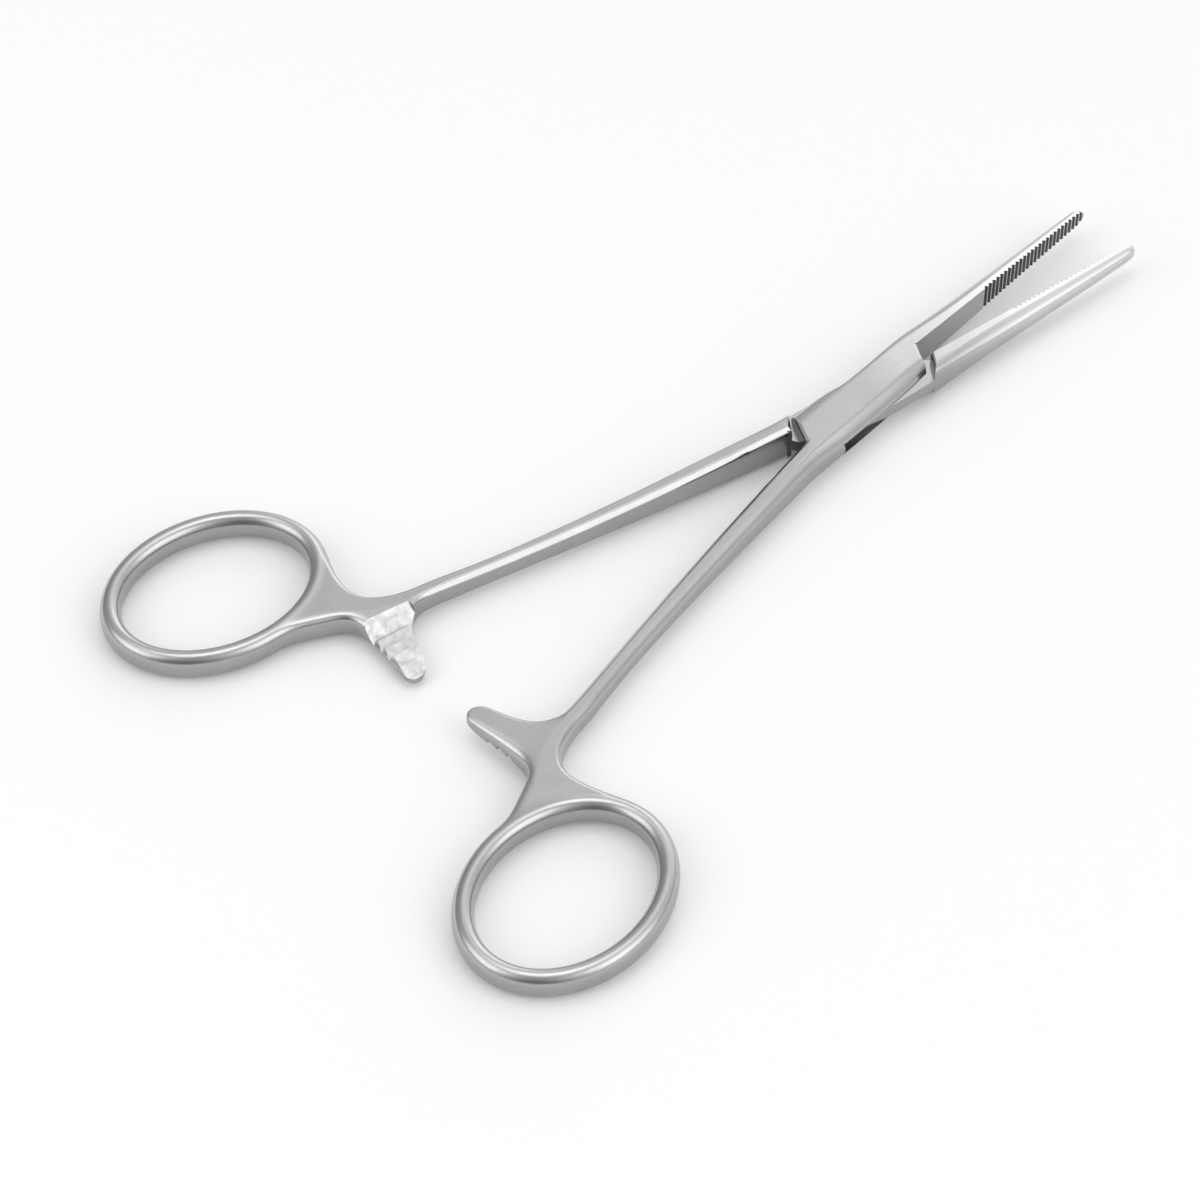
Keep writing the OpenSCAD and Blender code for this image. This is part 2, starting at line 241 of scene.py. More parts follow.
class Outline:
    """Edges, heights and roundings of a half by X"""

    inner_round = [(-62, 0.5), (-54, 0.6), (-24, 0.6), (-18, 0.5), (-4, 0.6), (11, 0.5)]
    outer_round = [(-62, 0.6), (-54, 0.75), (-24, 0.8), (-10, 1.1), (4, 1.15), (11, 1.0)]

    def __init__(self, sizes, winged):
        self.half_box = sizes.box_width / MM / 2
        self.waist_w = sizes.waist_width / MM
        self.waist_h = sizes.waist_height / MM
        self.tip_w = sizes.tip_width / MM
        self.winged = winged

    def shank_inner(self, x):
        t = max(0.0, (-BOX_REAR - x) / (NECK_X - BOX_REAR))
        return mix(-CROTCH_Y, -NECK_Y, t) + 4 * SHANK_BOW * t * (1 - t)

    def shank_width(self, x):
        if x > -WAIST_X:
            return mix(self.waist_w, SHANK_W, (x + WAIST_X) / (WAIST_X - BOX_REAR))
        return self.waist_w + NECK_SWELL * ((x + WAIST_X) / (NECK_X - WAIST_X)) ** 2

    def shank_outer(self, x):
        return self.shank_inner(x) - self.shank_width(min(x, -BOX_REAR))

    def jaw_face(self, x):
        return FACE_PLAY + ROOT_GAP / 2 * unit(1 - (x - BOX_FRONT) / (TIP_X - BOX_FRONT))

    def jaw_outer(self, x):
        return mix(self.half_box, self.tip_w, unit((x - TAPER_X) / (TIP_X - TAPER_X)) ** JAW_NARROWING)

    def side(self, x):
        if x < 0:
            return mix(-self.shank_outer(x), self.half_box, ease((x - SIDE_FROM) / SIDE_RUN))
        return self.jaw_outer(x)

    def nose(self, x):
        return math.sqrt(max(NOSE_END, 1 - unit((x - TIP_X + NOSE_L) / NOSE_L) ** 2))

    def dip(self, x):
        return WAIST_DIP * hump(x, *WAIST_DIP_SPAN) if self.winged else 0

    def bulge(self, x):
        return BOX_BULGE * hump(x, *BOX_BULGE_SPAN) if self.winged else 0

    def wing(self, x):
        if not self.winged:
            return 0
        out = -x - WING_X
        reach = mix(WING_STEP * ease(out / WING_RUN), WING_W, unit(out / WING_L))
        return reach * (1 - ease((-x - BOX_REAR - FLARE) / FLARE))

    def left(self, x):
        if x < -BOX_REAR - 2 * FLARE:
            return self.shank_inner(x)
        if x < -BOX_REAR - FLARE:
            y = mix(self.shank_inner(x), self.side(x), ease((x + BOX_REAR + 2 * FLARE) / FLARE))
        elif x < BOX_FRONT:
            y = self.side(x) - self.dip(x)
        else:
            y = mix(self.jaw_face(x), self.side(x) - self.dip(x), self.nose(x))
        return y + self.wing(x)

    def right(self, x):
        if x < BOX_FRONT:
            return -self.side(x) - self.bulge(x)
        face = self.jaw_face(x) - FACE_SPARE
        return mix(-self.side(x), face, ease((x - BOX_FRONT - FLARE_GAP) / FLARE))

    def half_height(self, x):
        if x < -BOX_REAR:
            h = mix(self.waist_h, BOX_H, unit((x + WAIST_X) / (WAIST_X - BOX_REAR)) ** SHANK_RISE)
        else:
            h = mix(BOX_H, TIP_H, unit((x - TAPER_X) / (TIP_X - TAPER_X)) ** JAW_FALL)
        return h / 2 * self.nose(x)

    def station(self, x):
        """Left and right ends, half height, widths and drops of the roundings, and the left one's cut"""
        left, right, half_h = self.left(x), self.right(x), self.half_height(x)
        in_jaw = ease((x - BACK_FROM) / BACK_RUN)
        back_w = left - self.jaw_face(x)
        wing = self.wing(x)
        inner = by_x(self.inner_round, x)
        left_r = mix(inner + WING_ROUND * wing, BACK_ROUND * back_w, in_jaw)
        left_drop = mix(inner + WING_DROP * wing, MOST_DROP * half_h, in_jaw)
        outer = by_x(self.outer_round, x) + self.bulge(x)
        right_r = mix(outer, FACE_ROUND, ease((x - BOX_FRONT) / FLARE))
        right_drop = min(ROUND_DROP * right_r, MOST_DROP * half_h)
        cut = mix(CHAMFER, CORNER, ease((x - CUT_TO) / CUT_FADE))
        return (x, left), (x, right), half_h, left_r, right_r, left_drop, right_drop, cut


class Pose:
    """Turns a point of the shut half, in millimetres, into its place in the frame, in metres"""

    def __init__(self, mirrored):
        self.side = -1 if mirrored else 1
        angle = math.radians(REST_OPEN / 2) * self.side
        self.cos, self.sin = math.cos(angle), math.sin(angle)

    def __call__(self, x, y, z):
        y = y * self.side
        turned = Vector((x * self.cos - y * self.sin, x * self.sin + y * self.cos, MID_Z + z))
        return (turned * MM).freeze()


# Mesh tools

def add_primitive(name, primitive, **sizes):
    """Adds a primitive, names it and opens it in edit mode"""
    bpy.ops.object.select_all(action="DESELECT")
    primitive(location=(0, 0, 0), **sizes)
    piece = bpy.context.active_object
    piece.name = name
    piece.data.name = name
    bpy.ops.object.mode_set(mode="EDIT")
    return piece


def only(piece):
    bpy.ops.object.select_all(action="DESELECT")
    piece.select_set(True)
    bpy.context.view_layer.objects.active = piece


def apply_modifier(piece, kind, **settings):
    only(piece)
    modifier = piece.modifiers.new(kind.title(), kind)
    for key, value in settings.items():
        setattr(modifier, key, value)
    bpy.ops.object.modifier_apply(modifier=modifier.name)


def select_only(mesh, elements):
    bpy.ops.mesh.select_all(action="DESELECT")
    for element in elements:
        element.select_set(True)
    mesh.select_flush_mode()


def select_row(piece, places, closed):
    """Selects the row of edges that runs through the given places"""
    mesh = bmesh.from_edit_mesh(piece.data)
    found = {v.co.copy().freeze(): v for v in mesh.verts}
    row = [found[place] for place in places]
    ends = row[1:] + row[:1] if closed else row[1:]
    select_only(mesh, [mesh.edges.get(pair) for pair in zip(row, ends)])


def move_selected(piece, before, after):
    """Moves the selected vertices from their places in one row to those in the other"""
    mesh = bmesh.from_edit_mesh(piece.data)
    target = dict(zip(before, after))
    for v in mesh.verts:
        if v.select:
            v.co = target[v.co.copy().freeze()]
    bmesh.update_edit_mesh(piece.data)


def extrude_loop(piece, loop, places):
    select_row(piece, loop, closed=True)
    bpy.ops.mesh.extrude_edges_move()
    move_selected(piece, loop, places)
    return places


def cut_hole(piece, rows):
    """Deletes the faces that lie between neighbouring rows of vertices"""
    mesh = bmesh.from_edit_mesh(piece.data)
    inside = {place for row in rows for place in row}
    select_only(mesh, [f for f in mesh.faces if all(v.co.copy().freeze() in inside for v in f.verts)])
    bpy.ops.mesh.delete(type="FACE")


def crease_line(piece, line, amount):
    """Sharpens the row of edges that runs through the given places"""
    select_row(piece, line, closed=False)
    bpy.ops.transform.edge_crease(value=amount)


def close_loop(piece, loop, span):
    select_row(piece, loop, closed=True)
    bpy.ops.mesh.fill_grid(span=span)


# Forging of one half: an oval ring with the neck, shank, box and jaw drawn out of it, and the ratchet arm
RING_SEGMENTS = 36
BAND_POINTS = 16
# Points on the band's outer side that the neck grows from, from the top down
BAND_SIDE = [k % BAND_POINTS for k in range(3, -4, -1)]
BAND_FULLNESS = 0.88
TOP_EDGES = 6
RING_CENTRE = (-80.3, -23.0)
RING_TURN = math.radians(4)
NECK_START = math.radians(15)


def rounded_side(reach, height, inset, drop, cut):
    """Rounded edge of a section from its flat top to its flat bottom, as distance out and height"""
    corner = [(reach - inset, height), (reach - cut * inset, height - cut * drop), (reach, height - drop)]
    return corner + [(reach, 0)] + [(s, -z) for s, z in reversed(corner)]


def section(place, left, right, half_h, left_r, right_r, left_drop, right_drop, left_cut, edges=TOP_EDGES):
    """Places of the points round one section: the top from left to right, down, back below and up"""
    left, right = Vector(left), Vector(right)
    width = (right - left).length
    across = (right - left) / width
    right_side = rounded_side(width, half_h, right_r, right_drop, RIGHT_CUT)
    left_side = [(width - s, z) for s, z in rounded_side(width, half_h, left_r, left_drop, left_cut)]
    top = [(mix(left_r, width - right_r, k / edges), half_h) for k in range(edges + 1)]
    below = [(s, -z) for s, z in reversed(top)]
    points = top + right_side[1:-1] + below + left_side[-2:0:-1]
    return [place(*(left + across * s), z) for s, z in points]


def band_profile(half_w, half_h):
    """Points round the ring's oval band from its outer middle over the top, as distance out and height"""
    points = []
    for k in range(BAND_POINTS):
        angle = math.tau * k / BAND_POINTS
        out, up = math.cos(angle), math.sin(angle)
        points.append((
            half_w * math.copysign(abs(out) ** BAND_FULLNESS, out),
            half_h * math.copysign(abs(up) ** BAND_FULLNESS, up)
        ))
    return points


def finger_ring(name, place, sizes):
    """Oval finger ring; returns the piece and its rows of places"""
    piece = add_primitive(
        name, bpy.ops.mesh.primitive_torus_add, major_segments=RING_SEGMENTS, minor_segments=BAND_POINTS
    )
    half_w = sizes.band_width / MM / 2
    profile = band_profile(half_w, sizes.band_height / MM / 2)
    long_r = sizes.hole_length / MM / 2 + half_w
    short_r = sizes.hole_width / MM / 2 + half_w
    along = Vector((math.cos(RING_TURN), math.sin(RING_TURN)))
    mesh = bmesh.from_edit_mesh(piece.data)
    mesh.verts.ensure_lookup_table()
    rows = []
    for i in range(RING_SEGMENTS):
        t = NECK_START + math.tau * i / RING_SEGMENTS
        middle = Vector((long_r * math.cos(t), short_r * math.sin(t)))
        out = Vector((short_r * math.cos(t), long_r * math.sin(t))).normalized()
        row = []
        for j, (s, z) in enumerate(profile):
            p = middle + out * s
            x = RING_CENTRE[0] + p.x * along.x - p.y * along.y
            y = RING_CENTRE[1] + p.x * along.y + p.y * along.x
            row.append(place(x, y, z))
            mesh.verts[i * BAND_POINTS + j].co = row[-1]
        rows.append(row)
    bmesh.update_edit_mesh(piece.data)
    return piece, rows


# Neck from the ring to the shank: left X and Y, right X and Y, half height, left and right rounding
NECK_ROWS = [
    (-74.6, -10.6, -67.95, -16.2, 1.74, 0.8, 0.75),
    (-72.6, -9.9, -68.35, -13.7, 1.7, 0.7, 0.6),
    (-71.0, -9.05, -68.25, -12.2, 1.67, 0.6, 0.52),
    (-69.6, -8.35, -67.75, -11.15, 1.65, 0.55, 0.52),
    (-68.1, -7.65, -66.9, -10.3, 1.63, 0.5, 0.54),
    (-66.4, -7.1, -65.7, -9.6, 1.62, 0.5, 0.57),
    (-64.6, -6.7, -64.2, -9.05, 1.61, 0.5, 0.6),
    (-62.4, -6.35, -62.3, -8.6, 1.605, 0.5, 0.6),
]
ARM_FROM_ROW = 2
ARM_EDGES = 5

# Ratchet arm from the neck to its end: back X and Y, front X and Y, half height, back and front rounding
ARM_ROWS = [
    (-70.55, -7.6, -63.6, -6.0, 1.57, 0.95, 0.5),
    (-70.35, -5.9, -65.0, -5.1, 1.54, 0.95, 0.48),
    (-70.3, -3.8, -65.95, -3.6, 1.51, 0.85, 0.44),
    (-70.3, -1.4, -66.7, -1.4, 1.48, 0.7, 0.36),
    (-70.3, 0.2, -67.05, 0.1, 1.46, 0.5, 0.3),
    (-70.25, 0.95, -67.3, 0.9, 1.45, 0.4, 0.28),
    (-70.0, 1.5, -67.75, 1.45, 1.44, 0.32, 0.26),
    (-69.5, 1.85, -68.4, 1.82, 1.42, 0.26, 0.25),
]


# X of the sections from the neck to the jaw tip; those of the nose are shares of its length
SHANK_X = [-60, -56, -52, -48, -44, -40, -36, -32, -28, -24, -21, -18.2]
FLARE_X = [-16.9, -16.1, -15.3, -14.5]
BOX_X = [-13.3, -12.1, -10.6, -9, -7, -4.8, -3.4, -2.8, -2.2, -1.6, -0.6, 1.5, 4.5, 7.5, 9.4, 10.7]
ROOT_X = [11.1, 11.7, 12.3, 12.9, 13.5]
JAW_X = [14.6, 16.5, 19, 22, 25, 28, 31, 34, 37, 40, 42]
NOSE_X = [TIP_X - NOSE_L * (1 - k) for k in (0, 0.3, 0.55, 0.75, 0.9, 1)]


def body_stations(outline):
    """Stations from the neck to the jaw tip"""
    last = len(NECK_ROWS) - 1
    rows = []
    for k, (left_x, left_y, right_x, right_y, half_h, left_r, right_r) in enumerate(NECK_ROWS):
        cut = mix(CORNER, CHAMFER, k / last)
        drops = EDGE_DROP * left_r, ROUND_DROP * right_r
        rows.append(((left_x, left_y), (right_x, right_y), half_h, left_r, right_r, *drops, cut))
    return rows + [outline.station(x) for x in SHANK_X + FLARE_X + BOX_X + ROOT_X + JAW_X + NOSE_X]


def draw_body(piece, rings, place, stations):
    """Draws the neck, shank, box and jaw out of the ring's outer side; returns the rows of places"""
    patch = [[rings[i][j] for j in BAND_SIDE] for i in range(TOP_EDGES + 1)]
    cut_hole(piece, patch)
    top = [row[0] for row in reversed(patch)]
    below = [row[-1] for row in patch]
    loop = top + patch[0][1:-1] + below + patch[-1][-2:0:-1]
    rows = []
    for station in stations:
        loop = extrude_loop(piece, loop, section(place, *station))
        rows.append(loop)
    close_loop(piece, loop, TOP_EDGES)
    return rows


def draw_arm(piece, rows, place):
    """Draws the ratchet arm out of the left side of the neck"""
    left_side = [*range(TOP_EDGES * 3, TOP_EDGES * 4), 0]
    patch = [[row[k] for k in left_side] for row in rows[ARM_FROM_ROW:ARM_FROM_ROW + ARM_EDGES + 1]]
    cut_hole(piece, patch)
    top = [row[-1] for row in patch]
    below = [row[0] for row in reversed(patch)]
    loop = top + patch[-1][-2:0:-1] + below + patch[0][1:-1]
    for back_x, back_y, front_x, front_y, half_h, back_r, front_r in ARM_ROWS:
        drops = EDGE_DROP * back_r, EDGE_DROP * front_r
        places = section(
            place, (back_x, back_y), (front_x, front_y), half_h, back_r, front_r, *drops, CORNER,
            edges=ARM_EDGES
        )
        loop = extrude_loop(piece, loop, places)
    close_loop(piece, loop, ARM_EDGES)


# Places in a section where the cut-off inner edge of the shank meets its side, and the box its outer side
CHAMFER_FOOT = (20, 22)
SIDE_HEAD = (6, 12)
FOOT_CREASE = 0.45
SIDE_CREASE = 0.25
SIDE_LEAD = 4
SHANK_END = len(NECK_ROWS) + len(SHANK_X)
BOX_END = SHANK_END + len(FLARE_X) + len(BOX_X)


def forge_half(name, place, outline, sizes):
    piece, rings = finger_ring(name, place, sizes)
    rows = draw_body(piece, rings, place, body_stations(outline))
    draw_arm(piece, rows, place)
    shank = rows[len(NECK_ROWS) - 1:SHANK_END]
    for k in CHAMFER_FOOT:
        crease_line(piece, [row[k] for row in shank], FOOT_CREASE)
    box = rows[SHANK_END - SIDE_LEAD:BOX_END]
    for k in SIDE_HEAD:
        crease_line(piece, [row[k] for row in box], SIDE_CREASE)
    bpy.ops.mesh.select_all(action="SELECT")
    bpy.ops.mesh.normals_make_consistent(inside=False)
    bpy.ops.object.mode_set(mode="OBJECT")
    apply_modifier(piece, "SUBSURF", levels=2, render_levels=2)
    return piece


# Cutters

def cutter_through(name, rows, *materials):
    """Closed solid drawn through rows of places; a second material is for its flat ends"""
    cutter = add_primitive(
        name, bpy.ops.mesh.primitive_circle_add, vertices=len(rows[0]), radius=MM, fill_type="NGON"
    )
    mesh = bmesh.from_edit_mesh(cutter.data)
    for v, place in zip(mesh.verts, rows[0]):
        v.co = place
    bmesh.update_edit_mesh(cutter.data)
    for before, after in zip(rows, rows[1:]):
        bpy.ops.mesh.extrude_region_move()
        move_selected(cutter, before, after)
    bpy.ops.mesh.select_all(action="SELECT")
    bpy.ops.mesh.normals_make_consistent(inside=False)
    bpy.ops.object.mode_set(mode="OBJECT")
    for material in materials:
        cutter.data.materials.append(material)
    for face in cutter.data.polygons:
        if len(face.vertices) == len(rows[0]):
            face.material_index = len(materials) - 1
    return cutter


def upright_cutter(name, place, plan, low, high, *materials):
    return cutter_through(name, [[place(x, y, z) for x, y in plan] for z in (low, high)], *materials)


ROLL_STEPS = 5
# How far a roll's cutter runs past the cut: along the surfaces, off them, outwards and up
ROLL_LEAD = 0.04
ROLL_CLEAR = 0.005
ROLL_OUT = 0.12
ROLL_UP = 0.8
# A roll's rows stand a little beside the corners of the edge, so that no two edges meet in the cut
ROLL_SLIP = 0.017


def roll_cutter(name, place, path, flip, material, out=ROLL_OUT):
    """Cutter over a sharp edge; the path holds X, Y, top, way off the edge, width, depth and roundness"""
    angles = [math.pi / 2 * (k + 0.5) / ROLL_STEPS for k in range(ROLL_STEPS)]
    rows = []
    for x, y, top, off, width, depth, roundness in path:
        arc = [(-width - ROLL_LEAD, ROLL_CLEAR)]
        for a in angles:
            t = a / math.pi * 2
            inwards = mix(t - 1, math.sin(a) - 1, roundness)
            upwards = mix(-t, math.cos(a) - 1, roundness)
            arc.append((width * inwards, depth * upwards))
        arc += [(ROLL_CLEAR, -depth - ROLL_LEAD), (out, -depth - ROLL_LEAD), (out, ROLL_UP)]
        arc += [(-width - ROLL_LEAD, ROLL_UP)]
        x, y = x - off.y * ROLL_SLIP, y + off.x * ROLL_SLIP
        rows.append([place(x + off.x * s, y + off.y * s, (top + z) * flip) for s, z in arc])
    return cutter_through(name, rows, material)


def cut_away(piece, cutters):
    for cutter in cutters:
        apply_modifier(
            piece, "BOOLEAN", operation="DIFFERENCE", object=cutter, solver="EXACT",
            material_mode="TRANSFER"
        )
        bpy.data.objects.remove(cutter)


# Lines of the box lock: how its plates' ends and its slot's walls lean, and where they cross the middle
END_SLANT = 0.62
END_LEAD = 0.35
REAR_SLANT = 1.43
FRONT_SLANT = 1.2
REAR_MID = 0.4
FRONT_MID = 0.2
FRONT_DISH = 0.2
FRONT_STEPS = 8
# Slot in the box, tongue in the slot, and the room that the tongue's shoulders and notch leave
SLOT_HALF = 0.85
SLOT_PLAY = 0.05
SLOT_AHEAD = 1
SLOT_UNDER = 0.3
SHOULDER_GAP = 0.25
SHOULDER_LEAD = 0.2
NOTCH_LEAD = 0.15
NOTCH_W = 0.8
NOTCH_BEHIND = 2
NOTCH_RISE = 0.6
PIN_PLAY = 0.03
PIN_SIDES = 64
# How far the cutters run past the steel, and by how much two cuts overlap
OVER = BOX_H
BESIDE = 2
AHEAD = TIP_X + 3
BEHIND = -BOX_REAR - 8
OVERLAP = 0.02
# Inner edge of the shank near the box
CROTCH_TURN = -BOX_REAR - 6.3
CROTCH_CLEAR = 0.12
CROTCH_BITE = 0.01
CROTCH_EDGE = -CROTCH_Y - OVERLAP
CROTCH_R = 0.25
CROTCH_STEPS = 4
# Widths, heights and ends of the rolls over the lock's edges
CROTCH_ROLL = 0.5
CROTCH_ROLL_END = 1
REAR_ROLL_W = 0.4
REAR_ROLL_H = 0.6
FRONT_ROLL = 0.4
SHOULDER_ROLL_W = 0.55
SHOULDER_ROLL_H = 0.7
SHOULDER_ROUND = 0.3
SHOULDER_ROLL_END = 1.2
ROOT_ROLL_W = 0.45
ROOT_ROLL_H = 0.7
ROOT_ROLL_END = -1


def rear_end(y):
    return -BOX_REAR + END_LEAD + END_SLANT * (y + REAR_MID)


def front_end(y):
    return BOX_FRONT + END_SLANT * (y - FRONT_MID)


def rear_wall(y):
    return -BOX_REAR - REAR_SLANT * (y + REAR_MID)


def front_wall(y):
    return BOX_FRONT - FRONT_SLANT * (y - FRONT_MID)


def crotch_line(outline):
    """Inner edge of the shank up to the box: it leaves the forged side gently"""
    far = (BEHIND, outline.shank_inner(BEHIND) + CROTCH_CLEAR)
    turn = (CROTCH_TURN, outline.shank_inner(CROTCH_TURN) - CROTCH_BITE)
    return [far, turn]


def crotch_corner(outline):
    """Small curve from the shank's inner edge into a cover plate's rear end: points and ways off them"""
    corner = Vector((rear_end(CROTCH_EDGE), CROTCH_EDGE))
    run = corner - Vector(crotch_line(outline)[-1])
    first = Vector((-run.y, run.x)).normalized()
    last = Vector((-1, END_SLANT)).normalized()
    middle = (first + last).normalized()
    centre = corner + middle * (CROTCH_R / first.dot(middle))
    ways = [first.lerp(last, k / CROTCH_STEPS).normalized() for k in range(CROTCH_STEPS + 1)]
    return [(centre - off * CROTCH_R, off) for off in ways]


def crotch_roll(outline):
    """Path of the roll along the shank's inner edge up to the box"""
    roll = Vector((0, 1)), CROTCH_ROLL, CROTCH_ROLL, 0
    return [(x, y, outline.half_height(x), *roll) for x, y in crotch_line(outline)]


def rear_roll(outline, wide):
    """Path of the roll along the crotch, round its corner and out along the cover plate's rear end"""
    path = crotch_roll(outline)
    for k, (point, off) in enumerate(crotch_corner(outline)):
        t = k / CROTCH_STEPS
        roll = mix(CROTCH_ROLL, REAR_ROLL_W, t), mix(CROTCH_ROLL, REAR_ROLL_H, t)
        path.append((*point, BOX_H / 2, off, *roll, t))
    path.append((rear_end(wide), wide, BOX_H / 2, off, REAR_ROLL_W, REAR_ROLL_H, 1))
    return path


def front_curve(wide):
    """Dished front end of a cover plate, from its root outwards"""
    points = []
    for k in range(FRONT_STEPS + 1):
        t = k / FRONT_STEPS
        y = mix(FRONT_MID, -wide, t)
        points.append((front_end(y) - FRONT_DISH * 4 * t * (1 - t), y))
    return points


def box_cutters(place, outline, satin, milled_shade):
    """Cutters for the cover plates' ends, the jaw's face, the slot, and the rolls over the plates' edges"""
    wide = outline.half_box + BESIDE
    root, tip = outline.jaw_face(BOX_FRONT), outline.jaw_face(TIP_X)
    crotch = [*crotch_line(outline), *(point for point, off in crotch_corner(outline))]
    rear = [*crotch, (rear_end(wide), wide), (BEHIND, wide)]
    front = [(AHEAD, tip), (TIP_X, tip), (BOX_FRONT, root), *front_curve(wide)[1:], (AHEAD, -wide)]
    slot = [
        (rear_wall(REAR_MID), REAR_MID), (rear_wall(-wide), -wide),
        (BOX_FRONT + SLOT_AHEAD, -wide), (BOX_FRONT + SLOT_AHEAD, root - SLOT_UNDER),
        (BOX_FRONT, root - OVERLAP), (front_wall(wide), wide), (rear_wall(REAR_MID), wide)
    ]
    yield upright_cutter("rear_end", place, rear, -OVER, OVER, satin)
    yield upright_cutter("front_end", place, front, -OVER, OVER, satin)
    yield upright_cutter("slot", place, slot, -SLOT_HALF, SLOT_HALF, milled_shade)
    roll = Vector((1, -END_SLANT)).normalized(), FRONT_ROLL, FRONT_ROLL, 1
    front_path = [(x, y, outline.half_height(x), *roll) for x, y in front_curve(wide)]
    for flip in (1, -1):
        yield roll_cutter("rear_roll", place, rear_roll(outline, wide), flip, satin)
        yield roll_cutter("front_roll", place, front_path, flip, satin)


def tongue_cutters(place, outline, satin, milled_shade):
    """Cutters for the notches, the jaw's face, the recesses over and under the tongue, and the rolls"""
    wide = outline.half_box + BESIDE
    root, tip = outline.jaw_face(BOX_FRONT), outline.jaw_face(TIP_X)
    corner = (-BOX_REAR + NOTCH_LEAD, CROTCH_EDGE)
    rear = [*crotch_line(outline), corner, (corner[0], wide), (BEHIND, wide)]
    notch = [
        corner,
        (rear_wall(-NOTCH_W) + SHOULDER_GAP, NOTCH_W), (rear_wall(-wide) + SHOULDER_GAP, wide),
        (-BOX_REAR - NOTCH_BEHIND, wide), (-BOX_REAR - NOTCH_BEHIND, CROTCH_EDGE + NOTCH_RISE)
    ]
    front = [
        (AHEAD, tip), (TIP_X, tip), (BOX_FRONT + FRONT_MID, root),
        (front_wall(FRONT_MID) - SHOULDER_GAP, -FRONT_MID), (front_wall(wide) - SHOULDER_GAP, -wide),
        (AHEAD, -wide)
    ]
    shoulder = SHOULDER_LEAD - SHOULDER_GAP
    recess = [
        (rear_end(wide) + shoulder, -wide), (rear_end(-wide) + shoulder, wide),
        (front_end(-wide) + SHOULDER_GAP, wide), (front_end(wide) + SHOULDER_GAP, -wide)
    ]
    tongue = SLOT_HALF - SLOT_PLAY
    yield upright_cutter("rear_end", place, rear, -OVER, OVER, satin)
    yield upright_cutter("rear_notch", place, notch, -OVER, OVER, milled_shade)
    yield upright_cutter("front_notch", place, front, -OVER, OVER, satin)
    yield upright_cutter("upper_recess", place, recess, tongue, OVER, milled_shade, satin)
    yield upright_cutter("lower_recess", place, recess, -OVER, -tongue, milled_shade, satin)
    off = Vector((1, END_SLANT)).normalized()
    shoulder_roll = off, SHOULDER_ROLL_W, SHOULDER_ROLL_H, SHOULDER_ROUND
    shoulder_path = []
    for y in (-wide, SHOULDER_ROLL_END):
        x = rear_end(-y) + shoulder
        shoulder_path.append((x, y, outline.half_height(x), *shoulder_roll))
    root_path = []
    for y in (wide, ROOT_ROLL_END):
        x = front_end(-y) + SHOULDER_GAP
        root_path.append((x, y, outline.half_height(x), -off, ROOT_ROLL_W, ROOT_ROLL_H, 1))
    crotch_path = crotch_roll(outline)
    roll = crotch_path[-1][3:]
    crotch_path.append((-BOX_REAR + CROTCH_ROLL_END, CROTCH_EDGE, outline.half_height(-BOX_REAR), *roll))
    for flip in (1, -1):
        yield roll_cutter("crotch_roll", place, crotch_path, flip, satin)
        yield roll_cutter("shoulder_roll", place, shoulder_path, flip, satin)
        yield roll_cutter("root_roll", place, root_path, flip, satin)


# Share of the pitch that stays flat between two serrations, and where the serrations end behind the tip
LAND = 0.18
SERRATION_STOP = 0.25
COMB_BACK = 1.0


def serration_cutter(place, outline, sizes, milled_shade):
    """Comb of V grooves across the inner face of a jaw"""
    end = TIP_X - SERRATION_STOP
    depth = sizes.serration_depth / MM
    pitch = (end - SERRATION_START) / sizes.serrations
    groove = (1 - LAND) * pitch
    comb = []
    for k in range(sizes.serrations):
        x = SERRATION_START + pitch * k
        face = outline.jaw_face(x)
        comb += [(x, face - OVERLAP), (x + groove / 2, face + depth), (x + groove, face - OVERLAP)]
    comb += [(end, -COMB_BACK), (SERRATION_START, -COMB_BACK)]
    return upright_cutter("serrations", place, comb, -OVER, OVER, milled_shade)


# Distances of the arm's back and front from the pin, and of the line that the teeth are measured on
ARM_BACK = 73.0
ARM_FRONT = 64.0
ARM_MID = 70.3
# Saw line of the teeth in Y and Z: end ramp, teeth, and the run and end of the ramp at the neck
END_RAMP = [(3.0, 0.76), (1.9, 0.56)]
FIRST_TOOTH = 2.0
TOOTH_PITCH = 1.5
TOOTH_LEAN = 0.1
TOOTH_LOW = -0.3
TOOTH_HIGH = 0.5
ROOT_RAMP = (2.6, -1.7)
SAW_BACK = -4.0
TOOTH_ROLL = 1.0
TOOTH_ROLL_END = 2.5
TOOTH_ROUND = 0.5


def ratchet_cutters(place, sizes, satin, ground, upper):
    """Saw-toothed cutter for the inner side of an arm, and a roll over the back of the lower arm's teeth"""
    flip = 1 if upper else -1
    saw = [*END_RAMP]
    for k in range(sizes.teeth):
        y = -FIRST_TOOTH - TOOTH_PITCH * k
        saw += [(y, TOOTH_LOW), (y - TOOTH_LEAN, TOOTH_HIGH)]
    last = saw[-1][0]
    root = last - ROOT_RAMP[0]
    saw += [(root, ROOT_RAMP[1]), (root, SAW_BACK), (END_RAMP[0][0], SAW_BACK)]
    rows = [[place(-x, y * x / ARM_MID, z * flip) for y, z in saw] for x in (ARM_BACK, ARM_FRONT)]
    yield cutter_through("ratchet", rows, ground)
    if not upper:
        roll = TOOTH_HIGH, Vector((-1, 0)), TOOTH_ROLL, TOOTH_ROLL, TOOTH_ROUND
        path = [(-ARM_MID, y, *roll) for y in (last, TOOTH_ROLL_END)]
        yield roll_cutter("tooth_roll", place, path, 1, satin, out=TOOTH_ROLL)


